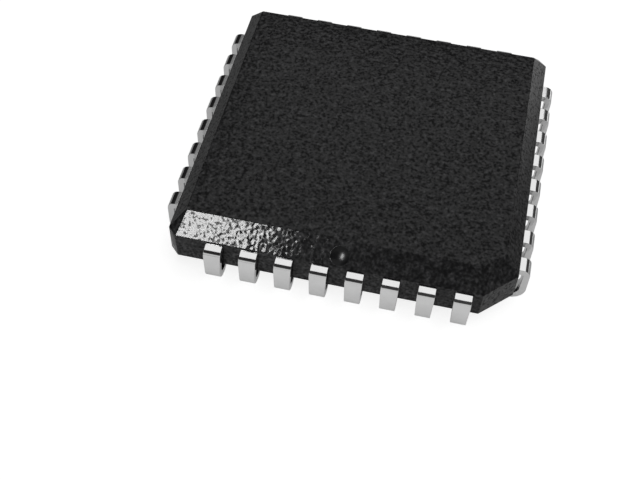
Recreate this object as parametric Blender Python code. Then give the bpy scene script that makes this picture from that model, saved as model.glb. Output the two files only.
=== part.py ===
"""Plastic leaded chip carrier with 32 J-leads, eight a side, and an exposed pad underneath.

Metres, +Z up. The origin is on the seating plane, under the middle of the body. The index dimple is on
the front slope (-Y), and the leads are counted from it, anticlockwise from above, past the large corner.
"""
from math import cos, pi, radians, sin

import bmesh
import bpy
from mathutils import Matrix, Vector

MM = 0.001

# Leads
LEADS_PER_SIDE = 8
PITCH = 1.27 * MM
LEAD_WIDTH = 0.62 * MM              # at the shoulder
FOOT_WIDTH = 0.56 * MM              # round the curl
LEAD_THICKNESS = 0.25 * MM
LEAD_BELOW_PARTING = 0.074 * MM     # from the parting line down to the top of a shoulder
LEAD_WALL_GAP = 0.17 * MM           # between the body's wall and the upright part of a lead
BEND_INSIDE = 0.05 * MM             # inside radius of the bend at the shoulder
CURL_INSIDE = 0.35 * MM             # inside radius of the curl under the body
TIP_IN_POCKET = 0.21 * MM           # how far a curled tip stands into its pocket
TIP_TAPER = 0.10 * MM               # how much narrower the curled tip is than the curl

# Body
END_MARGIN = 1.755 * MM             # from the last lead's middle to the side of the body
STANDOFF = 0.61 * MM                # from the seating plane up to the underside
LOWER_HEIGHT = 1.14 * MM            # from the underside up to the parting line
UPPER_HEIGHT = 0.69 * MM            # from the parting line up to the top
LOWER_DRAFT = 0.02 * MM             # how far the lower walls lean in
SIDE_SLOPE_RUN = 0.57 * MM          # how far the left and right slopes lean in
END_SLOPE_RUN = 0.71 * MM           # how far the front and back slopes lean in
INDEX_CORNER = 1.11 * MM            # leg of the large corner chamfer at the parting line
INDEX_CORNER_TOP = 0.74 * MM        # the same at the top face
PLAIN_CORNER = 0.33 * MM            # leg of the three small corner chamfers
PLAIN_CORNER_TOP = 0.03 * MM

# Index dimple on the front slope
DIMPLE_RADIUS = 0.35 * MM
DIMPLE_DEPTH = 0.085 * MM
DIMPLE_DOWN_SLOPE = 0.59            # share of the slope's length, from its top edge

# Pockets in the underside
POCKET_DEPTH = 0.35 * MM
POCKET_CLEARANCE = 0.10 * MM        # round a curled tip, on all four sides

# Exposed pad
PAD_SIZE = 6.21 * MM
PAD_THICKNESS = 0.25 * MM
PAD_PROUD = 0.02 * MM               # how far the pad stands out of the underside
PAD_CORNER = 1.30 * MM              # leg of the cut corner
PAD_LOCK = 0.20 * MM                # ledge that the mould grips, all round the pad
PAD_LOCK_HEIGHT = 0.13 * MM

# Silicon die
DIE_SIZE = 3.20 * MM
DIE_THICKNESS = 0.28 * MM
ATTACH_THICKNESS = 0.03 * MM
ATTACH_MARGIN = 0.08 * MM           # how far the die attach spreads past the die

# Inner leads and bond wires
INNER_STRAIGHT = 0.70 * MM          # from the wall to where a lead starts to fan in
INNER_TIP_LENGTH = 0.45 * MM
INNER_TIP_WIDTH = 0.40 * MM
INNER_TIP_PITCH = 0.80 * MM
INNER_TIP_FROM_PAD = 0.65 * MM      # in plan, from the pad's edge to the inner tips
WIRE_RADIUS = 0.0165 * MM
BALL_RADIUS = 0.04 * MM
BALL_HEIGHT = 0.03 * MM
BOND_INSET = 0.12 * MM              # from the die's edge to its bonding points
BOND_ROW_MARGIN = 0.30 * MM         # from the die's corner to the first bonding point
STITCH_INSET = 0.15 * MM            # from a lead's inner end to the wire's weld
WIRE_LOOP_RISE = 0.22 * MM          # height of a wire's control point over each of its ends
WIRE_SINK = 0.01 * MM               # how far a wire's weld goes into its lead

# Pieces that touch on the real chip stand this far apart here
SEAT_GAP = 0.01 * MM

# Facets
BEND_FACETS = 4
CURL_QUARTER_FACETS = 6
WIRE_SIDES = 5
WIRE_SPANS = 6
DIMPLE_FACETS = 24
SHARP_ANGLE = radians(35)

# Places that follow from the sizes above
UNDERSIDE = STANDOFF
PARTING = STANDOFF + LOWER_HEIGHT
TOP = PARTING + UPPER_HEIGHT
BODY_HALF = (LEADS_PER_SIDE - 1) / 2 * PITCH + END_MARGIN
LEAD_TOP = PARTING - LEAD_BELOW_PARTING
LEAD_OUTSIDE = BODY_HALF + LEAD_WALL_GAP + LEAD_THICKNESS
CURL_OUTSIDE = CURL_INSIDE + LEAD_THICKNESS
TIP_TOP = UNDERSIDE + TIP_IN_POCKET
PAD_BOTTOM = UNDERSIDE - PAD_PROUD
PAD_TOP = PAD_BOTTOM + PAD_THICKNESS
ATTACH_BOTTOM = PAD_TOP + SEAT_GAP
DIE_BOTTOM = ATTACH_BOTTOM + ATTACH_THICKNESS + SEAT_GAP
DIE_TOP = DIE_BOTTOM + DIE_THICKNESS
INNER_TIP = PAD_SIZE / 2 + INNER_TIP_FROM_PAD


def clear_scene():
    for item in list(bpy.data.objects):
        bpy.data.objects.remove(item, do_unlink=True)


def material(name, colour, roughness, metallic):
    made = bpy.data.materials.new(name)
    made.use_nodes = True
    shader = made.node_tree.nodes["Principled BSDF"]
    shader.inputs["Base Color"].default_value = (*colour, 1.0)
    shader.inputs["Roughness"].default_value = roughness
    shader.inputs["Metallic"].default_value = metallic
    return made


def finish_mesh(mesh_data, name):
    """Turn a bmesh into a mesh with its faces pointing out, smooth across its shallow edges."""
    bmesh.ops.recalc_face_normals(mesh_data, faces=mesh_data.faces[:])
    mesh = bpy.data.meshes.new(name)
    mesh_data.to_mesh(mesh)
    mesh_data.free()
    mesh.shade_smooth()
    mesh.set_sharp_from_angle(angle=SHARP_ANGLE)
    return mesh


def add_object(name, mesh, surface=None):
    made = bpy.data.objects.new(name, mesh)
    bpy.context.scene.collection.objects.link(made)
    if surface and not mesh.materials:
        mesh.materials.append(surface)
    return made


def add_cutter(name, mesh):
    made = add_object(name, mesh)
    made.hide_render = True
    made.display_type = "WIRE"
    return made


def apply_boolean(target, tool, operation):
    """Leave a live Boolean on the target."""
    step = target.modifiers.new(tool.name, "BOOLEAN")
    step.operation = operation
    step.solver = "EXACT"
    step.object = tool


def loft(mesh_data, rings):
    """Skin a list of rings, each a list of points, and close both ends."""
    rows = [[mesh_data.verts.new(point) for point in ring] for ring in rings]
    for row, following in zip(rows, rows[1:]):
        for i in range(len(row)):
            j = (i + 1) % len(row)
            mesh_data.faces.new((row[i], row[j], following[j], following[i]))
    mesh_data.faces.new(rows[0][::-1])
    mesh_data.faces.new(rows[-1])


def block(mesh_data, low, high):
    """A box between two corners."""
    rings = [[(low[0], low[1], z), (high[0], low[1], z), (high[0], high[1], z), (low[0], high[1], z)]
             for z in (low[2], high[2])]
    loft(mesh_data, rings)


def chamfered_outline(half_x, half_y, z, front_left, front_right, back_right, back_left):
    """Eight corners, anticlockwise from above; each corner is named with its chamfer's leg."""
    return [
        (-half_x + front_left, -half_y, z),
        (half_x - front_right, -half_y, z),
        (half_x, -half_y + front_right, z),
        (half_x, half_y - back_right, z),
        (half_x - back_right, half_y, z),
        (-half_x + back_left, half_y, z),
        (-half_x, half_y - back_left, z),
        (-half_x, -half_y + front_left, z),
    ]


def body_outline(z, lean_x, lean_y, index_corner, plain_corner):
    return chamfered_outline(BODY_HALF - lean_x, BODY_HALF - lean_y, z,
                             plain_corner, index_corner, plain_corner, plain_corner)


def body_mesh():
    """The moulded block without its hollows: underside, parting line and top face."""
    mesh_data = bmesh.new()
    loft(mesh_data, [
        body_outline(UNDERSIDE, LOWER_DRAFT, LOWER_DRAFT, INDEX_CORNER, PLAIN_CORNER),
        body_outline(PARTING, 0, 0, INDEX_CORNER, PLAIN_CORNER),
        body_outline(TOP, SIDE_SLOPE_RUN, END_SLOPE_RUN, INDEX_CORNER_TOP, PLAIN_CORNER_TOP),
    ])
    return finish_mesh(mesh_data, "mould_body")


def tangent_arc(middle, radius, start, end, facets):
    """Corners of a polygon whose sides touch an arc in the YZ plane; its first and last side run on."""
    step = (end - start) / facets
    reach = radius / cos(step / 2)
    angles = [start + step * (i + 0.5) for i in range(facets)]
    return [(middle[0] + reach * cos(angle), middle[1] + reach * sin(angle)) for angle in angles]


def lead_x(index):
    """Distance of a lead from the middle of its row."""
    return (index - (LEADS_PER_SIDE - 1) / 2) * PITCH


def inner_stations(index):
    """Where a front lead runs inside the body: (x, y, width), from its inner end to the wall."""
    tip_x = (index - (LEADS_PER_SIDE - 1) / 2) * INNER_TIP_PITCH
    return [
        (tip_x, -INNER_TIP, INNER_TIP_WIDTH),
        (tip_x, -INNER_TIP - INNER_TIP_LENGTH, INNER_TIP_WIDTH),
        (lead_x(index), -BODY_HALF + INNER_STRAIGHT, LEAD_WIDTH),
        (lead_x(index), -BODY_HALF, LEAD_WIDTH),
    ]


def lead_ring(x, width, outside, inside):
    """A cross-section of a lead: two points on its outer face and two on its inner face."""
    half = width / 2
    return [(x - half, *outside), (x + half, *outside), (x + half, *inside), (x - half, *inside)]


def lead_mesh_data(index):
    """A front lead: fan-in, shoulder, bend, upright part, curl and tip."""
    rings = [lead_ring(x, width, (y, LEAD_TOP), (y, LEAD_TOP - LEAD_THICKNESS))
             for x, y, width in inner_stations(index)]
    x = lead_x(index)
    bend_outside = BEND_INSIDE + LEAD_THICKNESS
    bend_middle = (-LEAD_OUTSIDE + bend_outside, LEAD_TOP - bend_outside)
    curl_middle = (-LEAD_OUTSIDE + CURL_OUTSIDE, CURL_OUTSIDE)
    bend = (tangent_arc(bend_middle, radius, pi / 2, pi, BEND_FACETS)
            for radius in (bend_outside, BEND_INSIDE))
    curl = (tangent_arc(curl_middle, radius, pi, 2 * pi, 2 * CURL_QUARTER_FACETS)
            for radius in (CURL_OUTSIDE, CURL_INSIDE))
    rings += [lead_ring(x, LEAD_WIDTH, outside, inside) for outside, inside in zip(*bend)]
    rings += [lead_ring(x, FOOT_WIDTH, outside, inside) for outside, inside in zip(*curl)]
    tip_outside = (curl_middle[0] + CURL_OUTSIDE, TIP_TOP)
    tip_inside = (curl_middle[0] + CURL_INSIDE, TIP_TOP)
    rings.append(lead_ring(x, FOOT_WIDTH - TIP_TAPER, tip_outside, tip_inside))
    mesh_data = bmesh.new()
    loft(mesh_data, rings)
    return mesh_data


def slot_rings(index):
    """The hollow that a lead leaves in the body, open through the wall."""
    stations = inner_stations(index)
    first_x, first_y, first_width = stations[0]
    last_x, _, last_width = stations[-1]
    stations[0] = (first_x, first_y + SEAT_GAP, first_width)
    stations[-1] = (last_x, -BODY_HALF - LEAD_WALL_GAP, last_width)
    return [lead_ring(x, width + 2 * SEAT_GAP, (y, LEAD_TOP + SEAT_GAP),
                      (y, LEAD_TOP - LEAD_THICKNESS - SEAT_GAP)) for x, y, width in stations]


def wire_ends(index):
    """The two ends of a front wire: the ball on the die and the weld on the lead."""
    bond_pitch = (DIE_SIZE - 2 * BOND_ROW_MARGIN) / (LEADS_PER_SIDE - 1)
    offset = index - (LEADS_PER_SIDE - 1) / 2
    ball = Vector((offset * bond_pitch, -DIE_SIZE / 2 + BOND_INSET, DIE_TOP + SEAT_GAP))
    weld = Vector((offset * INNER_TIP_PITCH, -INNER_TIP - STITCH_INSET, LEAD_TOP - WIRE_SINK))
    return ball, weld


def wire_rings(index, gap):
    """A ball and a looped wire; with a gap, the hollow that they leave in the body."""
    ball, weld = wire_ends(index)
    neck = ball + Vector((0, 0, BALL_HEIGHT))
    rise = Vector((0, 0, WIRE_LOOP_RISE))
    controls = [neck, neck + rise, weld + (neck - weld) / 3 + rise, weld]
    heading = (weld - ball).to_2d().normalized()
    across = Vector((-heading.y, heading.x, 0))
    rings = [wire_ring(ball - Vector((0, 0, gap)), Vector((0, 0, 1)), across, BALL_RADIUS + gap),
             wire_ring(neck, Vector((0, 0, 1)), across, BALL_RADIUS + gap)]
    for i in range(WIRE_SPANS + 1):
        place, direction = bezier(controls, i / WIRE_SPANS)
        rings.append(wire_ring(place, direction, across, WIRE_RADIUS + gap))
    return rings


def bezier(controls, t):
    """Place and direction on a cubic curve with four control points."""
    a, b, c, d = controls
    place = a * (1 - t) ** 3 + b * 3 * t * (1 - t) ** 2 + c * 3 * t * t * (1 - t) + d * t ** 3
    slope = (b - a) * (1 - t) ** 2 + (c - b) * 2 * t * (1 - t) + (d - c) * t * t
    return place, slope.normalized()


def wire_ring(middle, direction, across, radius):
    """Corners of a wire's cross-section, square to its direction."""
    up = across.cross(direction)
    angles = [2 * pi * i / WIRE_SIDES for i in range(WIRE_SIDES)]
    return [middle + radius * (across * cos(angle) + up * sin(angle)) for angle in angles]


def wired_lead_mesh(index):
    """A lead with its bond wire welded to its inner end."""
    lead = add_object("lead_blank", finish_mesh(lead_mesh_data(index), "lead_blank"))
    wire_data = bmesh.new()
    loft(wire_data, wire_rings(index, 0))
    wire = add_cutter("wire_blank", finish_mesh(wire_data, "wire_blank"))
    apply_boolean(lead, wire, "UNION")
    bpy.context.view_layer.update()
    joined = lead.evaluated_get(bpy.context.evaluated_depsgraph_get())
    mesh = bpy.data.meshes.new_from_object(joined)
    mesh.name = "lead"
    bpy.data.objects.remove(lead)
    bpy.data.objects.remove(wire)
    return mesh


def on_all_sides(mesh_data):
    """Repeat the front row's shapes on the other three sides."""
    front = mesh_data.verts[:] + mesh_data.edges[:] + mesh_data.faces[:]
    for quarter in (1, 2, 3):
        copy = bmesh.ops.duplicate(mesh_data, geom=front)["geom"]
        verts = [item for item in copy if isinstance(item, bmesh.types.BMVert)]
        turn = Matrix.Rotation(quarter * pi / 2, 3, "Z")
        bmesh.ops.rotate(mesh_data, cent=(0, 0, 0), matrix=turn, verts=verts)


def row_cutter(name, add_shape):
    """A cutter with one shape for each lead, on all four sides."""
    mesh_data = bmesh.new()
    for index in range(LEADS_PER_SIDE):
        add_shape(mesh_data, index)
    on_all_sides(mesh_data)
    return add_cutter(name, finish_mesh(mesh_data, name))


def add_slot(mesh_data, index):
    loft(mesh_data, slot_rings(index))


def add_wire_hollow(mesh_data, index):
    loft(mesh_data, wire_rings(index, SEAT_GAP))


def add_pocket(mesh_data, index):
    """The pocket round a curled tip. It starts as far below the underside as it ends above it."""
    tip_outside = -LEAD_OUTSIDE + 2 * CURL_OUTSIDE
    half = FOOT_WIDTH / 2 + POCKET_CLEARANCE
    low = (lead_x(index) - half, tip_outside - LEAD_THICKNESS - POCKET_CLEARANCE, UNDERSIDE - POCKET_DEPTH)
    high = (lead_x(index) + half, tip_outside + POCKET_CLEARANCE, UNDERSIDE + POCKET_DEPTH)
    block(mesh_data, low, high)


def pad_outline(z, margin):
    """The pad's outline; a margin widens its straight sides and keeps its cut corner's width."""
    half = PAD_SIZE / 2 + margin
    return [(-half + PAD_CORNER, -half, z), (half, -half, z), (half, half, z), (-half, half, z),
            (-half, -half + PAD_CORNER, z)]


def pad_rings(gap):
    ledge = PAD_TOP - PAD_LOCK_HEIGHT
    return [
        pad_outline(PAD_BOTTOM - gap, gap),
        pad_outline(ledge - gap, gap),
        pad_outline(ledge - gap, PAD_LOCK + gap),
        pad_outline(PAD_TOP + gap, PAD_LOCK + gap),
    ]


def square_ring(half, z):
    return [(-half, -half, z), (half, -half, z), (half, half, z), (-half, half, z)]


def layer_mesh(name, half, bottom, thickness):
    """A flat square layer."""
    mesh_data = bmesh.new()
    loft(mesh_data, [square_ring(half, bottom), square_ring(half, bottom + thickness)])
    return finish_mesh(mesh_data, name)


def pad_mesh():
    mesh_data = bmesh.new()
    loft(mesh_data, pad_rings(0))
    return finish_mesh(mesh_data, "exposed_pad")


def die_hollow_mesh():
    """The hollow over the pad that the die attach and the die leave in the body."""
    attach_half = DIE_SIZE / 2 + ATTACH_MARGIN + SEAT_GAP
    die_half = DIE_SIZE / 2 + SEAT_GAP
    shelf = DIE_BOTTOM
    mesh_data = bmesh.new()
    loft(mesh_data, [
        square_ring(attach_half, PAD_TOP - SEAT_GAP),
        square_ring(attach_half, shelf),
        square_ring(die_half, shelf),
        square_ring(die_half, DIE_TOP + SEAT_GAP),
    ])
    return finish_mesh(mesh_data, "die_hollow")


def dimple_mesh():
    """A ball whose cap, sunk into the front slope, is the index dimple."""
    ball_radius = (DIMPLE_RADIUS ** 2 + DIMPLE_DEPTH ** 2) / (2 * DIMPLE_DEPTH)
    down = Vector((0, -END_SLOPE_RUN, -UPPER_HEIGHT))
    outward = Vector((0, -UPPER_HEIGHT, END_SLOPE_RUN)).normalized()
    middle = Vector((0, -BODY_HALF + END_SLOPE_RUN, TOP)) + down * DIMPLE_DOWN_SLOPE
    place = Matrix.Translation(middle + outward * (ball_radius - DIMPLE_DEPTH))
    turn = outward.to_track_quat("Z", "Y").to_matrix().to_4x4()
    mesh_data = bmesh.new()
    bmesh.ops.create_uvsphere(mesh_data, u_segments=DIMPLE_FACETS, v_segments=DIMPLE_FACETS,
                              radius=ball_radius, matrix=place @ turn)
    return finish_mesh(mesh_data, "index_dimple")


def build_body(surface):
    body = add_object("mould_body", body_mesh(), surface)
    apply_boolean(body, row_cutter("lead_slots", add_slot), "DIFFERENCE")
    apply_boolean(body, row_cutter("wire_hollows", add_wire_hollow), "DIFFERENCE")
    apply_boolean(body, row_cutter("tip_pockets", add_pocket), "DIFFERENCE")
    apply_boolean(body, add_cutter("die_hollow", die_hollow_mesh()), "DIFFERENCE")
    pad_data = bmesh.new()
    loft(pad_data, pad_rings(SEAT_GAP))
    apply_boolean(body, add_cutter("pad_hollow", finish_mesh(pad_data, "pad_hollow")), "DIFFERENCE")
    apply_boolean(body, add_cutter("index_dimple", dimple_mesh()), "DIFFERENCE")
    return body


def build_leads(surface):
    """Leads 1 to 32, from the dimple anticlockwise; the front row's second half comes first."""
    meshes = [wired_lead_mesh(index) for index in range(LEADS_PER_SIDE)]
    first = LEADS_PER_SIDE // 2
    for number in range(4 * LEADS_PER_SIDE):
        quarter, index = divmod(first + number, LEADS_PER_SIDE)
        lead = add_object(f"lead_{number + 1:02d}", meshes[index], surface)
        lead.rotation_euler.z = quarter * pi / 2


def build_die_stack(pad_surface, attach_surface, die_surface):
    add_object("exposed_pad", pad_mesh(), pad_surface)
    attach_half = DIE_SIZE / 2 + ATTACH_MARGIN
    add_object("die_attach", layer_mesh("die_attach", attach_half, ATTACH_BOTTOM, ATTACH_THICKNESS),
               attach_surface)
    add_object("silicon_die", layer_mesh("silicon_die", DIE_SIZE / 2, DIE_BOTTOM, DIE_THICKNESS), die_surface)


def main():
    clear_scene()
    build_body(material("black_mould_compound", (0.030, 0.030, 0.032), 0.62, 0.0))
    build_leads(material("tin_plate", (0.80, 0.80, 0.79), 0.24, 1.0))
    build_die_stack(
        material("silver_plate", (0.72, 0.72, 0.71), 0.35, 1.0),
        material("silver_epoxy", (0.45, 0.45, 0.44), 0.60, 0.3),
        material("silicon", (0.12, 0.13, 0.16), 0.20, 0.5),
    )


main()
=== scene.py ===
"""Looks of a plastic leaded chip carrier with 32 J-leads, eight a side, and an exposed pad underneath.

Metres, +Z up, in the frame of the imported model. The front (-Y) is the side with the index dimple.
"""

from math import cos, pi, radians, sin

import bmesh
import bpy
from mathutils import Matrix, Vector


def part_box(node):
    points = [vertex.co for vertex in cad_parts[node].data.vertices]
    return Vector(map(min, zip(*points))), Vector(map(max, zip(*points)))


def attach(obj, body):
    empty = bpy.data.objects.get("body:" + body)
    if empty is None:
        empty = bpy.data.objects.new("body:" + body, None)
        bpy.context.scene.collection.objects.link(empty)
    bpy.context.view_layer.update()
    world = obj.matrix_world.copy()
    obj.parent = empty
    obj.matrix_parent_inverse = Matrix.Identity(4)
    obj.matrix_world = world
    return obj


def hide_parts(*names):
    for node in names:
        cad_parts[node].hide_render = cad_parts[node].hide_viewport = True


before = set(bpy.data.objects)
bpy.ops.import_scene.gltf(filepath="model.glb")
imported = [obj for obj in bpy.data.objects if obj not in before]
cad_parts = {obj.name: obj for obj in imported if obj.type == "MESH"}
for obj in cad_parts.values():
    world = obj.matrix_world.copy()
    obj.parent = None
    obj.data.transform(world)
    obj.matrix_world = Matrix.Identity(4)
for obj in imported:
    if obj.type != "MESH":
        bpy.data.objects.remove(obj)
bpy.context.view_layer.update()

MM = 0.001
QUARTER_TURN = pi / 2

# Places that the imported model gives
body_low, body_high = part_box("mould_body")
pad_low, pad_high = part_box("exposed_pad")
_, attach_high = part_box("die_attach")
die_low, die_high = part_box("silicon_die")
lead_low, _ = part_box("lead_01")
UNDERSIDE = body_low.z
TOP = body_high.z
BODY_HALF = body_high.x
LEAD_OUTSIDE = -lead_low.y

# Leads
LEADS_PER_SIDE = 8
ROW_MIDDLE = (LEADS_PER_SIDE - 1) / 2   # counted in leads, from the row's first
PITCH = 1.27 * MM
LEAD_WIDTH = 0.62 * MM
FOOT_WIDTH = 0.56 * MM
LEAD_THICKNESS = 0.25 * MM
LEAD_BELOW_PARTING = 0.074 * MM
BEND_INSIDE = 0.05 * MM
CURL_OUTSIDE = 0.60 * MM
TIP_IN_POCKET = 0.21 * MM
TIP_TAPER = 0.10 * MM
TIP_CHAMFER = 0.04 * MM
LEAD_EDGE = 0.020 * MM              # radius of a lead's rolled edges

# Body
LOWER_HEIGHT = 1.14 * MM
LOWER_DRAFT = 0.02 * MM
SIDE_SLOPE_RUN = 0.57 * MM
END_SLOPE_RUN = 0.71 * MM
INDEX_CORNER = 1.11 * MM
INDEX_CORNER_TOP = 0.74 * MM
PLAIN_CORNER = 0.33 * MM
PLAIN_CORNER_TOP = 0.03 * MM
BODY_EDGE = 0.02 * MM               # radius of the mould's edges
BODY_EDGE_TURN = radians(25)        # an edge that turns less isn't rounded
DIMPLE_RADIUS = 0.35 * MM
DIMPLE_DEPTH = 0.085 * MM
DIMPLE_DOWN_SLOPE = 0.59            # share of the slope's length, from its top edge
POCKET_DEPTH = 0.35 * MM
POCKET_CLEARANCE = 0.10 * MM

# Exposed pad
PAD_CORNER = 1.30 * MM
PAD_LOCK = 0.20 * MM
PAD_LOCK_HEIGHT = 0.13 * MM
PAD_EDGE = 0.02 * MM
PAD_EDGE_TURN = radians(40)

# Inner leads and bond wires
INNER_STRAIGHT = 0.70 * MM
INNER_TIP_LENGTH = 0.45 * MM
INNER_TIP_WIDTH = 0.40 * MM
INNER_TIP_PITCH = 0.80 * MM
INNER_TIP_FROM_PAD = 0.65 * MM
WIRE_RADIUS = 0.0165 * MM
BALL_RADIUS = 0.04 * MM
BALL_HEIGHT = 0.03 * MM
BOND_INSET = 0.12 * MM
BOND_ROW_MARGIN = 0.30 * MM
STITCH_INSET = 0.15 * MM
WIRE_LOOP_RISE = 0.22 * MM
WIRE_SINK = 0.01 * MM

# Room that a hollow in the body leaves round what it holds
SEAT_GAP = 0.01 * MM

# Fineness
EDGE_FACETS = 3
BEND_FACETS = 10
CURL_FACETS = 30
WIRE_SIDES = 10
WIRE_SPANS = 14
DIMPLE_FACETS = 96
LEAD_SMOOTH_TURN = radians(12)      # a lead's bend and curl blend, its rolled edges stay crisp
BODY_SMOOTH_TURN = radians(20)      # the dimple's rim stays crisp

PARTING = UNDERSIDE + LOWER_HEIGHT
LEAD_TOP = PARTING - LEAD_BELOW_PARTING
TIP_TOP = UNDERSIDE + TIP_IN_POCKET
PAD_HALF = pad_high.x - PAD_LOCK
DIE_HALF = die_high.x
INNER_TIP = PAD_HALF + INNER_TIP_FROM_PAD

# Camera, fitted to the photograph
CAMERA_PLACE = Vector((3.14, -28.62, 31.90)) * MM
CAMERA_TURN = (radians(38.23), radians(-2.05), radians(12.28))
CAMERA_LENS = 61.1                  # like the sensor's width, in millimetres
CAMERA_SENSOR = 36.0
CAMERA_CLIP = (1 * MM, 10.0)


# Shader nodes

NOISE_RANGE = (0.3, 0.7)            # nearly all of a noise's values lie in it
NOISE_MIDDLE = 0.5


class Nodes:
    """Short calls that build the node tree of one material or of the world."""

    def __init__(self, tree):
        self.tree = tree

    def feed(self, socket, value):
        """Link a socket to an output, or set it to a constant."""
        if isinstance(value, bpy.types.NodeSocket):
            self.tree.links.new(value, socket)
        else:
            socket.default_value = value

    def fill(self, node, **inputs):
        """Link or set a node's sockets by name, with _ for a space."""
        for name, value in inputs.items():
            self.feed(node.inputs[name.replace("_", " ")], value)
        return node

    def add(self, kind, settings=None, **inputs):
        """A node; settings are its properties, inputs are its sockets."""
        node = self.tree.nodes.new(kind)
        for name, value in (settings or {}).items():
            setattr(node, name, value)
        return self.fill(node, **inputs)

    def place(self):
        """Object coordinates, in metres: every piece has its origin at the part's."""
        return self.add("ShaderNodeTexCoord").outputs["Object"]

    def parts(self, vector):
        """X, Y and Z of a vector, by name."""
        return self.add("ShaderNodeSeparateXYZ", Vector=vector).outputs

    def distance(self, place, point):
        made = self.add("ShaderNodeVectorMath", {"operation": "DISTANCE"}, Vector=place)
        self.feed(made.inputs[1], point)
        return made.outputs["Value"]

    def to_camera(self):
        """1 for what the camera sees itself, 0 for light and reflections."""
        return self.add("ShaderNodeLightPath").outputs["Is Camera Ray"]

    def noise(self, place, size, detail=2.0, roughness=0.5):
        """Noise whose features are about one size across."""
        made = self.add("ShaderNodeTexNoise", Vector=place, Scale=1 / size, Detail=detail,
                        Roughness=roughness)
        return made.outputs["Fac"]

    def stretched(self, place, scale):
        return self.add("ShaderNodeMapping", Vector=place, Scale=scale).outputs["Vector"]

    def rescale(self, value, source, target=(0.0, 1.0)):
        """A value that runs over the target range while the given one runs over the source range."""
        made = self.add("ShaderNodeMapRange", Value=value, From_Min=source[0], From_Max=source[1],
                        To_Min=target[0], To_Max=target[1])
        return made.outputs["Result"]

    def spread(self, noise, target=(0.0, 1.0)):
        """A noise that fills the target range."""
        return self.rescale(noise, NOISE_RANGE, target)

    def math(self, operation, *values):
        made = self.add("ShaderNodeMath", {"operation": operation})
        for socket, value in zip(made.inputs, values):
            self.feed(socket, value)
        return made.outputs[0]

    def mix(self, share, a, b, kind="RGBA"):
        """Mix of two colours, or of two values if the kind is FLOAT: a at a share of 0, b at 1."""
        made = self.add("ShaderNodeMix", {"data_type": kind})
        sockets = [socket for socket in made.inputs if socket.enabled]
        for socket, value in zip(sockets, (share, a, b)):
            self.feed(socket, value)
        return next(socket for socket in made.outputs if socket.enabled)

    def bump(self, height, depth):
        """Normal of a surface whose height runs from 0 to one depth."""
        return self.add("ShaderNodeBump", Strength=1.0, Distance=depth, Height=height).outputs["Normal"]


def new_material(name):
    """A material, its nodes and its shader."""
    made = bpy.data.materials.new(name)
    made.use_nodes = True
    return made, Nodes(made.node_tree), made.node_tree.nodes["Principled BSDF"]


def grey(value):
    return (value, value, value, 1.0)


# Mould compound

COMPOUND_COLOURS = ((0.012, 0.012, 0.0124, 1.0), (0.072, 0.072, 0.074, 1.0))
COMPOUND_GLOSS = (0.03, 0.15)
COMPOUND_ROUGHNESS = (0.07, 0.10)
COMPOUND_CLOUD = 1.6 * MM           # the roughness changes over this distance
COMPOUND_SPECK = 0.19 * MM
COMPOUND_GRAIN = 0.14 * MM          # bumps that break up the glare
COMPOUND_GRAIN_DEPTH = 0.0052 * MM
COMPOUND_FINE_GRAIN = 0.10 * MM
FINE_IN_MOTTLE = 0.5                # share of the fine grain in the colour's mottle
FINE_IN_BUMPS = 0.15
FINE_PITS = (0.38, 0.47)            # where the fine grain is lower, the surface is dull
MOTTLE_CONTRAST = 2.2               # more of it leaves fewer pale specks
# Inside the dimple: plain, without the mottle, and darker as painted shade
DIMPLE_SHADE_COLOUR = (0.010, 0.010, 0.0104, 1.0)
DIMPLE_GLOSS = 0.14
DIMPLE_ADDED_ROUGHNESS = 0.15
# The painted shade in the dimple ends where the texture sets in
DIMPLE_RIM = (1.0005, 1.002)        # where the texture sets in, in radii of the dimple's ball


def mould_compound_material():
    """Black epoxy with the fine texture of a spark-eroded mould, plain inside the dimple and darker
    there as painted shade.
    """
    made, nodes, shader = new_material("mould_compound")
    place = nodes.place()
    grain = nodes.noise(place, COMPOUND_GRAIN, detail=0.0)
    fine = nodes.noise(place, COMPOUND_FINE_GRAIN, detail=1.0)
    specks = nodes.noise(place, COMPOUND_SPECK, detail=1.0)
    cloud = nodes.noise(place, COMPOUND_CLOUD, detail=3.0)
    middle, radius = dimple_ball()
    textured_unshaded = nodes.rescale(nodes.distance(place, middle), [radius * share for share in DIMPLE_RIM])
    mottle = nodes.mix(FINE_IN_MOTTLE, specks, fine, "FLOAT")
    pale = nodes.math("POWER", nodes.spread(mottle), MOTTLE_CONTRAST)
    # The colour inside the dimple is plain and darker: painted shade
    colour = nodes.mix(textured_unshaded, DIMPLE_SHADE_COLOUR, nodes.mix(pale, *COMPOUND_COLOURS))
    gloss = nodes.mix(textured_unshaded, DIMPLE_GLOSS, nodes.rescale(fine, FINE_PITS, COMPOUND_GLOSS), "FLOAT")
    rougher = nodes.rescale(textured_unshaded, (0.0, 1.0), (DIMPLE_ADDED_ROUGHNESS, 0.0))
    rough = nodes.math("ADD", nodes.spread(cloud, COMPOUND_ROUGHNESS), rougher)
    bumps = nodes.mix(FINE_IN_BUMPS, grain, fine, "FLOAT")
    # From a middle height, so that the dimple's rim makes no step
    height = nodes.mix(textured_unshaded, NOISE_MIDDLE, bumps, "FLOAT")
    nodes.fill(shader, Base_Color=colour, Roughness=rough, Specular_IOR_Level=gloss,
               Normal=nodes.bump(height, COMPOUND_GRAIN_DEPTH))
    return made


# Tin plate

TIN_COLOURS = (grey(0.80), grey(0.85))
TIN_ROUGHNESS = (0.08, 0.12)
TIN_PATCH = 0.5 * MM
TIN_GRAIN = 0.05 * MM
TIN_GRAIN_DEPTH = 0.0006 * MM


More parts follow.
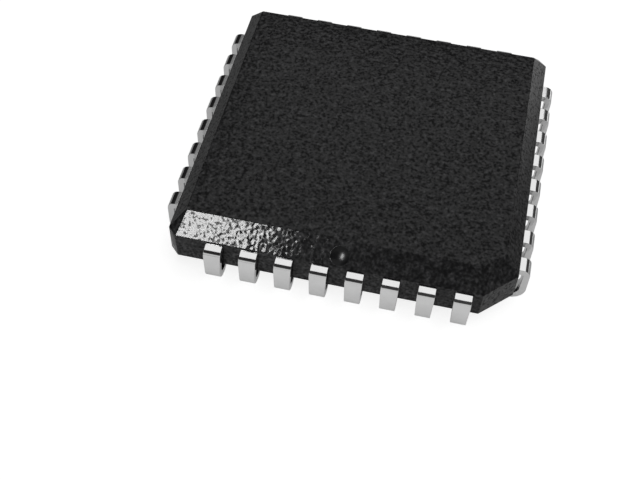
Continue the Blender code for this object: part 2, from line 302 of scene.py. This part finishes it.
def tin_plate_material():
    """Bright tin over copper, with soft patches and a faint grain."""
    made, nodes, shader = new_material("tin_plate")
    place = nodes.place()
    grain = nodes.noise(place, TIN_GRAIN)
    patches = nodes.noise(place, TIN_PATCH, detail=3.0, roughness=0.55)
    nodes.fill(shader, Base_Color=nodes.mix(nodes.spread(patches), *TIN_COLOURS),
               Roughness=nodes.spread(patches, TIN_ROUGHNESS), Metallic=1.0,
               Normal=nodes.bump(grain, TIN_GRAIN_DEPTH))
    return made


# Bond gold

GOLD_COLOURS = ((0.85, 0.56, 0.20, 1.0), (0.98, 0.70, 0.30, 1.0))
GOLD_ROUGHNESS = (0.18, 0.28)
GOLD_SHADE = 0.05 * MM


def bond_gold_material():
    made, nodes, shader = new_material("bond_gold")
    shade = nodes.noise(nodes.place(), GOLD_SHADE)
    nodes.fill(shader, Base_Color=nodes.mix(shade, *GOLD_COLOURS),
               Roughness=nodes.spread(shade, GOLD_ROUGHNESS), Metallic=1.0)
    return made


# Silver plate

SILVER_COLOURS = ((0.66, 0.66, 0.65, 1.0), (0.80, 0.80, 0.79, 1.0))
SILVER_STROKE = 0.05 * MM
SILVER_STROKE_STRETCH = (1.0, 0.03, 1.0)    # a low scale draws the strokes out, here along Y
SILVER_STROKE_DEPTH = 0.002 * MM
SILVER_ROUGHNESS = (0.24, 0.34)
SILVER_PATCH = 1.2 * MM
SILVER_PATCH_ROUGHNESS = (0.0, 0.06)        # what the patches add to it


def silver_plate_material():
    """Silver-plated copper, brushed along Y."""
    made, nodes, shader = new_material("silver_plate")
    place = nodes.place()
    stretched = nodes.stretched(place, SILVER_STROKE_STRETCH)
    strokes = nodes.noise(stretched, SILVER_STROKE, detail=3.0, roughness=0.6)
    patches = nodes.noise(place, SILVER_PATCH, detail=3.0)
    rough = nodes.math("ADD", nodes.spread(strokes, SILVER_ROUGHNESS),
                       nodes.spread(patches, SILVER_PATCH_ROUGHNESS))
    nodes.fill(shader, Base_Color=nodes.mix(nodes.spread(strokes), *SILVER_COLOURS), Roughness=rough,
               Metallic=1.0, Normal=nodes.bump(strokes, SILVER_STROKE_DEPTH))
    return made


# Silver epoxy

EPOXY_COLOURS = ((0.30, 0.30, 0.29, 1.0), (0.66, 0.66, 0.65, 1.0))
EPOXY_ROUGHNESS = (0.65, 0.40)
EPOXY_METAL = (0.2, 0.9)
EPOXY_FLAKE = 0.02 * MM
EPOXY_FLAKE_DEPTH = 0.003 * MM
EPOXY_SPARKLE = (0.45, 0.62)        # the noise turns from resin to flake over this range


def silver_epoxy_material():
    """Grey epoxy full of silver flakes."""
    made, nodes, shader = new_material("silver_epoxy")
    flakes = nodes.noise(nodes.place(), EPOXY_FLAKE, detail=1.0, roughness=0.4)
    sparkle = nodes.rescale(flakes, EPOXY_SPARKLE)
    nodes.fill(shader, Base_Color=nodes.mix(sparkle, *EPOXY_COLOURS),
               Roughness=nodes.spread(flakes, EPOXY_ROUGHNESS),
               Metallic=nodes.rescale(sparkle, (0.0, 1.0), EPOXY_METAL),
               Normal=nodes.bump(flakes, EPOXY_FLAKE_DEPTH))
    return made


# Silicon

SILICON_BLOCK = 0.45 * MM
SILICON_BLOCK_COLOURS = ((0.10, 0.12, 0.20, 1.0), (0.22, 0.20, 0.24, 1.0))
SILICON_BLOCK_EDGE = 0.6            # this share of a block from its middle, the second colour is full
SILICON_ROW = 0.02 * MM
SILICON_ROW_STRETCH = (0.2, 1.0, 1.0)
SILICON_ROW_COLOUR = (0.30, 0.27, 0.20, 1.0)
SILICON_ROW_EDGES = (0.45, 0.55)
SILICON_ROW_STRENGTH = 0.5
SILICON_ROUGHNESS = (0.12, 0.22)
SILICON_METAL = 0.6


def silicon_material():
    """Dark silicon, tinted by blocks and rows of circuitry."""
    made, nodes, shader = new_material("silicon")
    place = nodes.place()
    blocks = nodes.add("ShaderNodeTexVoronoi", {"distance": "CHEBYCHEV"}, Vector=place,
                       Scale=1 / SILICON_BLOCK).outputs["Distance"]
    rows = nodes.noise(nodes.stretched(place, SILICON_ROW_STRETCH), SILICON_ROW, detail=1.0)
    colour = nodes.mix(nodes.rescale(blocks, (0.0, SILICON_BLOCK_EDGE)), *SILICON_BLOCK_COLOURS)
    in_row = nodes.rescale(rows, SILICON_ROW_EDGES, (0.0, SILICON_ROW_STRENGTH))
    nodes.fill(shader, Base_Color=nodes.mix(in_row, colour, SILICON_ROW_COLOUR),
               Roughness=nodes.spread(rows, SILICON_ROUGHNESS), Metallic=SILICON_METAL)
    return made


# Mesh helpers

def loft(mesh_data, rings, slot_index=0):
    """Skin a list of rings, each a list of points, and close both ends."""
    rows = [[mesh_data.verts.new(point) for point in ring] for ring in rings]
    faces = [mesh_data.faces.new(rows[0][::-1]), mesh_data.faces.new(rows[-1])]
    for row, following in zip(rows, rows[1:]):
        for i in range(len(row)):
            j = (i + 1) % len(row)
            faces.append(mesh_data.faces.new((row[i], row[j], following[j], following[i])))
    for face in faces:
        face.material_index = slot_index


def block(mesh_data, low, high):
    """A box between two corners."""
    loft(mesh_data, [
        [(low[0], low[1], z), (high[0], low[1], z), (high[0], high[1], z), (low[0], high[1], z)]
        for z in (low[2], high[2])
    ])


def add_object(name, mesh_data, *surfaces):
    """An object from a bmesh, smooth, with its faces pointing out."""
    bmesh.ops.recalc_face_normals(mesh_data, faces=mesh_data.faces[:])
    mesh = bpy.data.meshes.new(name)
    mesh_data.to_mesh(mesh)
    mesh_data.free()
    mesh.shade_smooth()
    for surface in surfaces:
        mesh.materials.append(surface)
    made = bpy.data.objects.new(name, mesh)
    bpy.context.scene.collection.objects.link(made)
    return made


def apply_steps(target):
    """Turn a piece's modifiers into its mesh, and delete what they used."""
    tools = {step.object for step in target.modifiers if step.type == "BOOLEAN"}
    bpy.context.view_layer.update()
    shaped = target.evaluated_get(bpy.context.evaluated_depsgraph_get())
    target.data = bpy.data.meshes.new_from_object(shaped)
    target.modifiers.clear()
    for tool in tools:
        bpy.data.objects.remove(tool)


def add_boolean(target, tool, operation="DIFFERENCE"):
    step = target.modifiers.new(tool.name, "BOOLEAN")
    step.operation = operation
    step.solver = "EXACT"
    step.object = tool


def add_bevel(target, width, smallest_turn):
    """Round the edges where the surface turns by more than the smallest turn."""
    step = target.modifiers.new("edges", "BEVEL")
    step.width = width
    step.segments = EDGE_FACETS
    step.limit_method = "ANGLE"
    step.angle_limit = smallest_turn


def add_flat_shading(target):
    """Keep large faces flat to the eye, and let only the narrow facets of an edge turn."""
    target.data.set_sharp_from_angle(angle=BODY_SMOOTH_TURN)
    step = target.modifiers.new("shading", "WEIGHTED_NORMAL")
    step.keep_sharp = True


def finish_piece(piece, node):
    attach(piece, "root")
    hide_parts(node)


# Leads

def lead_x(index):
    """Distance of a lead from the middle of its row."""
    return (index - ROW_MIDDLE) * PITCH


def inner_stations(index):
    """Where a front lead runs inside the body: (x, y, width), from its inner end to the wall."""
    tip_x = (index - ROW_MIDDLE) * INNER_TIP_PITCH
    return [
        (tip_x, -INNER_TIP, INNER_TIP_WIDTH),
        (tip_x, -INNER_TIP - INNER_TIP_LENGTH, INNER_TIP_WIDTH),
        (lead_x(index), -BODY_HALF + INNER_STRAIGHT, LEAD_WIDTH),
        (lead_x(index), -BODY_HALF, LEAD_WIDTH),
    ]


def lead_ring(x, width, outside, inside, edge=LEAD_EDGE):
    """Cross-section of a lead with rolled edges, from a point on its outer face to one on its inner."""
    outer = Vector((x, *outside))
    inner = Vector((x, *inside))
    across = Vector((1, 0, 0))
    up = (outer - inner).normalized()
    reach_x = width / 2 - edge
    reach_up = (outer - inner).length / 2 - edge
    ring = []
    for quarter, (side, level) in enumerate(((1, 1), (-1, 1), (-1, -1), (1, -1))):
        for step in range(EDGE_FACETS + 1):
            angle = (quarter + step / EDGE_FACETS) * QUARTER_TURN
            ring.append((outer + inner) / 2 + across * (side * reach_x + edge * cos(angle))
                        + up * (level * reach_up + edge * sin(angle)))
    return ring


def arc_pairs(middle, radii, start, end, facets):
    """Pairs of points on two concentric arcs in the YZ plane."""
    angles = [start + (end - start) * i / facets for i in range(facets + 1)]
    return [[(middle[0] + radius * cos(angle), middle[1] + radius * sin(angle)) for radius in radii]
            for angle in angles]


def lead_rings(index):
    """A front lead: fan-in, shoulder, bend, upright part, curl and tip."""
    rings = [lead_ring(x, width, (y, LEAD_TOP), (y, LEAD_TOP - LEAD_THICKNESS))
             for x, y, width in inner_stations(index)]
    x = lead_x(index)
    bend_outside = BEND_INSIDE + LEAD_THICKNESS
    bend_middle = (-LEAD_OUTSIDE + bend_outside, LEAD_TOP - bend_outside)
    curl_middle = (-LEAD_OUTSIDE + CURL_OUTSIDE, CURL_OUTSIDE)
    curl_inside = CURL_OUTSIDE - LEAD_THICKNESS
    bend = arc_pairs(bend_middle, (bend_outside, BEND_INSIDE), QUARTER_TURN, pi, BEND_FACETS)
    curl = arc_pairs(curl_middle, (CURL_OUTSIDE, curl_inside), pi, 2 * pi, CURL_FACETS)
    rings += [lead_ring(x, LEAD_WIDTH, *pair) for pair in bend]
    rings += [lead_ring(x, FOOT_WIDTH, *pair) for pair in curl]
    tip_width = FOOT_WIDTH - TIP_TAPER
    for back, height in ((0, TIP_TOP - TIP_CHAMFER), (TIP_CHAMFER, TIP_TOP)):
        outside = (curl_middle[0] + CURL_OUTSIDE - back, height)
        inside = (curl_middle[0] + curl_inside + back, height)
        rings.append(lead_ring(x, tip_width - 2 * back, outside, inside))
    return rings


def slot_rings(index):
    """The hollow that a lead leaves in the body, open through the wall."""
    stations = inner_stations(index)
    first_x, first_y, first_width = stations[0]
    last_x, _, last_width = stations[-1]
    stations[0] = (first_x, first_y + SEAT_GAP, first_width)
    stations[-1] = (last_x, -LEAD_OUTSIDE, last_width)
    return [lead_ring(x, width + 2 * SEAT_GAP, (y, LEAD_TOP + SEAT_GAP),
                      (y, LEAD_TOP - LEAD_THICKNESS - SEAT_GAP), LEAD_EDGE + SEAT_GAP)
            for x, y, width in stations]


def bezier(controls, t):
    """Place and direction on a cubic curve with four control points."""
    a, b, c, d = controls
    place = a * (1 - t) ** 3 + b * 3 * t * (1 - t) ** 2 + c * 3 * t * t * (1 - t) + d * t ** 3
    slope = (b - a) * (1 - t) ** 2 + (c - b) * 2 * t * (1 - t) + (d - c) * t * t
    return place, slope.normalized()


def wire_ring(middle, direction, across, radius):
    up = across.cross(direction)
    angles = [2 * pi * i / WIRE_SIDES for i in range(WIRE_SIDES)]
    return [middle + radius * (across * cos(angle) + up * sin(angle)) for angle in angles]


def wire_rings(index, gap):
    """A ball on the die and a looped wire to the lead; with a gap, the hollow that they leave."""
    bond_pitch = (2 * DIE_HALF - 2 * BOND_ROW_MARGIN) / (LEADS_PER_SIDE - 1)
    offset = index - ROW_MIDDLE
    ball = Vector((offset * bond_pitch, -DIE_HALF + BOND_INSET, die_high.z + SEAT_GAP))
    weld = Vector((offset * INNER_TIP_PITCH, -INNER_TIP - STITCH_INSET, LEAD_TOP - WIRE_SINK))
    neck = ball + Vector((0, 0, BALL_HEIGHT))
    rise = Vector((0, 0, WIRE_LOOP_RISE))
    controls = [neck, neck + rise, weld + (neck - weld) / 3 + rise, weld]
    heading = (weld - ball).to_2d().normalized()
    across = Vector((-heading.y, heading.x, 0))
    upward = Vector((0, 0, 1))
    rings = [wire_ring(ball - upward * gap, upward, across, BALL_RADIUS + gap),
             wire_ring(neck, upward, across, BALL_RADIUS + gap)]
    for i in range(WIRE_SPANS + 1):
        place, direction = bezier(controls, i / WIRE_SPANS)
        rings.append(wire_ring(place, direction, across, WIRE_RADIUS + gap))
    return rings


def wired_lead_mesh(index, tin, gold):
    """A lead with its bond wire welded to its inner end."""
    lead_data = bmesh.new()
    loft(lead_data, lead_rings(index))
    lead = add_object("lead_blank", lead_data, tin, gold)
    wire_data = bmesh.new()
    loft(wire_data, wire_rings(index, 0), slot_index=1)
    add_boolean(lead, add_object("wire_blank", wire_data, tin, gold), "UNION")
    apply_steps(lead)
    mesh = lead.data
    mesh.set_sharp_from_angle(angle=LEAD_SMOOTH_TURN)
    bpy.data.objects.remove(lead)
    return mesh


def build_leads(tin, gold):
    """Leads 1 to 32, from the dimple anticlockwise; the front row's second half comes first."""
    meshes = [wired_lead_mesh(index, tin, gold) for index in range(LEADS_PER_SIDE)]
    first = LEADS_PER_SIDE // 2
    for number in range(4 * LEADS_PER_SIDE):
        quarter, index = divmod(first + number, LEADS_PER_SIDE)
        node = f"lead_{number + 1:02d}"
        mesh = meshes[index].copy()
        mesh.transform(Matrix.Rotation(quarter * QUARTER_TURN, 4, "Z"))
        piece = bpy.data.objects.new("j_" + node, mesh)
        bpy.context.scene.collection.objects.link(piece)
        finish_piece(piece, node)


# Body

def body_outline(z, lean_x, lean_y, index_corner, plain_corner):
    """Eight corners, anticlockwise from above; the large chamfer is at +X, -Y."""
    half_x = BODY_HALF - lean_x
    half_y = BODY_HALF - lean_y
    return [
        (-half_x + plain_corner, -half_y, z),
        (half_x - index_corner, -half_y, z),
        (half_x, -half_y + index_corner, z),
        (half_x, half_y - plain_corner, z),
        (half_x - plain_corner, half_y, z),
        (-half_x + plain_corner, half_y, z),
        (-half_x, half_y - plain_corner, z),
        (-half_x, -half_y + plain_corner, z),
    ]


def on_all_sides(mesh_data):
    """Repeat the front row's shapes on the other three sides."""
    front = mesh_data.verts[:] + mesh_data.edges[:] + mesh_data.faces[:]
    for quarter in (1, 2, 3):
        turn = Matrix.Rotation(quarter * QUARTER_TURN, 3, "Z")
        copy = bmesh.ops.duplicate(mesh_data, geom=front)["geom"]
        verts = [item for item in copy if isinstance(item, bmesh.types.BMVert)]
        bmesh.ops.rotate(mesh_data, cent=(0, 0, 0), matrix=turn, verts=verts)


def row_cutter(name, add_shape):
    """A cutter with one shape for each lead, on all four sides."""
    mesh_data = bmesh.new()
    for index in range(LEADS_PER_SIDE):
        add_shape(mesh_data, index)
    on_all_sides(mesh_data)
    return add_object(name, mesh_data)


def add_slot(mesh_data, index):
    loft(mesh_data, slot_rings(index))


def add_wire_hollow(mesh_data, index):
    loft(mesh_data, wire_rings(index, SEAT_GAP))


def add_pocket(mesh_data, index):
    """The pocket round a curled tip. It starts as far below the underside as it ends above it."""
    tip_outside = -LEAD_OUTSIDE + 2 * CURL_OUTSIDE
    tip_inside = tip_outside - LEAD_THICKNESS
    half = FOOT_WIDTH / 2 + POCKET_CLEARANCE
    low = (lead_x(index) - half, tip_inside - POCKET_CLEARANCE, UNDERSIDE - POCKET_DEPTH)
    high = (lead_x(index) + half, tip_outside + POCKET_CLEARANCE, UNDERSIDE + POCKET_DEPTH)
    block(mesh_data, low, high)


def pad_outline(z, margin):
    """The pad's outline; a margin widens its straight sides and keeps its cut corner's width."""
    half = PAD_HALF + margin
    return [(-half + PAD_CORNER, -half, z), (half, -half, z), (half, half, z), (-half, half, z),
            (-half, -half + PAD_CORNER, z)]


def pad_blank(name, gap):
    """The pad with its locking ledge; with a gap, the hollow that it leaves in the body."""
    ledge = pad_high.z - PAD_LOCK_HEIGHT
    mesh_data = bmesh.new()
    loft(mesh_data, [
        pad_outline(pad_low.z - gap, gap),
        pad_outline(ledge - gap, gap),
        pad_outline(ledge - gap, PAD_LOCK + gap),
        pad_outline(pad_high.z + gap, PAD_LOCK + gap),
    ])
    return add_object(name, mesh_data)


def square_ring(half, z):
    return [(-half, -half, z), (half, -half, z), (half, half, z), (-half, half, z)]


def die_hollow():
    """The hollow over the pad that the die attach and the die leave in the body."""
    attach_half = attach_high.x + SEAT_GAP
    die_half = DIE_HALF + SEAT_GAP
    mesh_data = bmesh.new()
    loft(mesh_data, [
        square_ring(attach_half, pad_high.z - SEAT_GAP),
        square_ring(attach_half, die_low.z),
        square_ring(die_half, die_low.z),
        square_ring(die_half, die_high.z + SEAT_GAP),
    ])
    return add_object("die_hollow", mesh_data)


def dimple_ball():
    """Middle and radius of the ball whose cap, sunk into the front slope, is the index dimple."""
    radius = (DIMPLE_RADIUS ** 2 + DIMPLE_DEPTH ** 2) / (2 * DIMPLE_DEPTH)
    height = TOP - PARTING
    down_slope = Vector((0, -END_SLOPE_RUN, -height))
    on_slope = Vector((0, -BODY_HALF + END_SLOPE_RUN, TOP)) + down_slope * DIMPLE_DOWN_SLOPE
    outward = Vector((0, -height, END_SLOPE_RUN)).normalized()
    return on_slope + outward * (radius - DIMPLE_DEPTH), radius


def dimple_cutter():
    middle, radius = dimple_ball()
    mesh_data = bmesh.new()
    bmesh.ops.create_uvsphere(mesh_data, u_segments=DIMPLE_FACETS, v_segments=DIMPLE_FACETS // 2,
                              radius=radius, matrix=Matrix.Translation(middle))
    return add_object("index_dimple", mesh_data)


def build_body(surface):
    mesh_data = bmesh.new()
    loft(mesh_data, [
        body_outline(UNDERSIDE, LOWER_DRAFT, LOWER_DRAFT, INDEX_CORNER, PLAIN_CORNER),
        body_outline(PARTING, 0, 0, INDEX_CORNER, PLAIN_CORNER),
        body_outline(TOP, SIDE_SLOPE_RUN, END_SLOPE_RUN, INDEX_CORNER_TOP, PLAIN_CORNER_TOP),
    ])
    body = add_object("moulded_block", mesh_data, surface)
    add_bevel(body, BODY_EDGE, BODY_EDGE_TURN)
    add_boolean(body, row_cutter("lead_slots", add_slot))
    add_boolean(body, row_cutter("wire_hollows", add_wire_hollow))
    add_boolean(body, row_cutter("tip_pockets", add_pocket))
    add_boolean(body, die_hollow())
    add_boolean(body, pad_blank("pad_hollow", SEAT_GAP))
    add_boolean(body, dimple_cutter())
    apply_steps(body)
    add_flat_shading(body)
    finish_piece(body, "mould_body")
    return body


def build_pad(surface):
    pad = pad_blank("die_pad", 0)
    pad.data.materials.append(surface)
    add_bevel(pad, PAD_EDGE, PAD_EDGE_TURN)
    apply_steps(pad)
    add_flat_shading(pad)
    finish_piece(pad, "exposed_pad")


def dress_node(node, surface):
    """Give a node that stays as it is its finish."""
    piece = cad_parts[node]
    for holder in piece.material_slots:
        holder.material = surface


# Floor

FLOOR_SIZE = 3.0
FLOOR_COLOURS = (grey(0.54), grey(0.56))
FLOOR_CLOUD = 40 * MM
FLOOR_TO_CAMERA = (0.83, 1.0)       # glow near the chip, where its shadow shows, and far from it
SHADOW_REACH = (20 * MM, 120 * MM)  # the glow rises between these distances

# Painted light: a glowing strip from front to back, which the leads' faces, the front wall and the cut
# corner mirror
STRIP_GLOW = 0.38
STRIP_SIDES = (7.5 * MM, 9.0 * MM)  # it fades out to the left and right between these distances
# Near the leads' feet the strip glows less, as painted shade
STRIP_NEAR_GLOW = 0.26
STRIP_NEAR = (6.35 * MM, 7.5 * MM)  # from its glow near the leads' feet to its full one

# Painted light: a glowing patch behind on the right, which the right slope mirrors
PATCH_GLOW = 0.87
PATCH_LEFT = (9.0 * MM, 12.0 * MM)  # it sets in between these places
PATCH_FRONT = (2.0 * MM, 14.0 * MM)


def floor_glow(nodes, place):
    """White to the camera, and a weaker strip and patch of painted light for the chip's sides."""
    parts = nodes.parts(place)
    sideways = nodes.math("ABSOLUTE", parts["X"])
    lengthways = nodes.math("ABSOLUTE", parts["Y"])
    strip = nodes.math("MINIMUM", nodes.rescale(sideways, STRIP_SIDES, (STRIP_GLOW, 0.0)),
                       nodes.rescale(lengthways, STRIP_NEAR, (STRIP_NEAR_GLOW, STRIP_GLOW)))
    right = nodes.rescale(parts["X"], PATCH_LEFT, (0.0, PATCH_GLOW))
    back = nodes.rescale(parts["Y"], PATCH_FRONT)
    patch = nodes.math("MULTIPLY", right, nodes.math("MULTIPLY", back, back))
    away = nodes.distance(place, (0, 0, 0))
    white = nodes.math("MULTIPLY", nodes.to_camera(), nodes.rescale(away, SHADOW_REACH, FLOOR_TO_CAMERA))
    return nodes.math("MAXIMUM", white, nodes.math("MAXIMUM", strip, patch))


def floor_material():
    """Pale floor that keeps the chip's shadow."""
    made, nodes, shader = new_material("floor")
    place = nodes.place()
    colour = nodes.mix(nodes.noise(place, FLOOR_CLOUD), *FLOOR_COLOURS)
    paint = nodes.add("ShaderNodeBsdfDiffuse", Color=colour)
    glow = nodes.add("ShaderNodeEmission", Color=grey(1.0), Strength=floor_glow(nodes, place))
    total = nodes.add("ShaderNodeAddShader")
    for socket, layer in zip(total.inputs, (paint, glow)):
        nodes.feed(socket, layer.outputs[0])
    nodes.fill(made.node_tree.nodes["Material Output"], Surface=total.outputs[0])
    made.node_tree.nodes.remove(shader)
    return made


def build_floor():
    mesh_data = bmesh.new()
    bmesh.ops.create_grid(mesh_data, x_segments=1, y_segments=1, size=FLOOR_SIZE / 2)
    floor = add_object("floor", mesh_data, floor_material())


# World: places are on a sphere of radius one round the chip

BAND_GLOW = 0.60
BAND_TOP = (0.30, 0.42)             # it fades out upwards between these heights
BAND_BACK = (-0.45, -0.10)          # and backwards between these places
CEILING_GLOW = (0.012, 0.05)
CEILING_SIDES = (-0.30, 0.10)       # from the first glow on the left to the second on the right


def build_world():
    """White to the camera; to the chip, a bright band low in front under a dim ceiling."""
    world = bpy.data.worlds.new("studio")
    bpy.context.scene.world = world
    world.use_nodes = True
    nodes = Nodes(world.node_tree)
    way = nodes.parts(nodes.add("ShaderNodeTexCoord").outputs["Generated"])
    low = nodes.rescale(way["Z"], BAND_TOP, (BAND_GLOW, 0.0))
    front = nodes.rescale(way["Y"], BAND_BACK, (1.0, 0.0))
    band = nodes.math("MULTIPLY", low, front)
    ceiling = nodes.rescale(way["X"], CEILING_SIDES, CEILING_GLOW)
    strength = nodes.math("MAXIMUM", nodes.math("MAXIMUM", band, ceiling), nodes.to_camera())
    nodes.fill(world.node_tree.nodes["Background"], Color=grey(1.0), Strength=strength)


# Lamps

LAMP_DISTANCE = 0.30                # from the chip, or the height of a lamp that faces down
LAMP_WATTS = pi                     # for one square metre of lamp at a radiance of one


def direction(azimuth, elevation):
    """From the chip, in degrees; azimuth 0 is in front (-Y) and 90 to the right (+X)."""
    turn = radians(azimuth)
    rise = radians(elevation)
    return Vector((sin(turn) * cos(rise), -cos(turn) * cos(rise), sin(rise)))


def add_softbox(name, place, size, radiance, faces_down=False):
    """A rectangular lamp that faces the chip, or straight down."""
    lamp = bpy.data.lights.new(name, "AREA")
    lamp.shape = "RECTANGLE"
    lamp.size, lamp.size_y = size
    lamp.energy = radiance * size[0] * size[1] * LAMP_WATTS
    made = bpy.data.objects.new(name, lamp)
    made.location = place
    if not faces_down:
        made.rotation_euler = Vector(place).to_track_quat("Z", "Y").to_euler()
    bpy.context.scene.collection.objects.link(made)
    return made


def light_only(lamp, piece):
    """Keep a lamp's light to one piece."""
    lit = bpy.data.collections.new(lamp.name + "_receivers")
    lit.objects.link(piece)
    lamp.light_linking.receiver_collection = lit


def build_lamps(body):
    """Two lamps overhead, a key lamp for the glare on the front slope, and a fill without highlights."""
    add_softbox("overhead_softbox", place=(0.09, 0.10, LAMP_DISTANCE), size=(0.37, 0.50),
                radiance=0.92, faces_down=True)
    add_softbox("strip_softbox", place=(-0.13, 0.10, LAMP_DISTANCE), size=(0.06, 0.50),
                radiance=0.19, faces_down=True)
    key = add_softbox("key_softbox", place=direction(-19.4, 38) * LAMP_DISTANCE, size=(0.057, 0.14),
                      radiance=52.0)
    light_only(key, body)
    key.visible_diffuse = False
    fill = add_softbox("front_fill_softbox", place=direction(-15, 15) * LAMP_DISTANCE,
                       size=(0.20, 0.15), radiance=1.6)
    fill.visible_glossy = False


def build_camera():
    lens = bpy.data.cameras.new("camera")
    lens.lens = CAMERA_LENS
    lens.sensor_width = CAMERA_SENSOR
    lens.clip_start, lens.clip_end = CAMERA_CLIP
    camera = bpy.data.objects.new("camera", lens)
    camera.location = CAMERA_PLACE
    camera.rotation_euler = CAMERA_TURN
    bpy.context.scene.collection.objects.link(camera)
    bpy.context.scene.camera = camera


def main():
    bpy.context.scene.view_settings.view_transform = "Standard"
    build_camera()
    body = build_body(mould_compound_material())
    build_leads(tin_plate_material(), bond_gold_material())
    build_pad(silver_plate_material())
    dress_node("die_attach", silver_epoxy_material())
    dress_node("silicon_die", silicon_material())
    build_floor()
    build_world()
    build_lamps(body)


main()
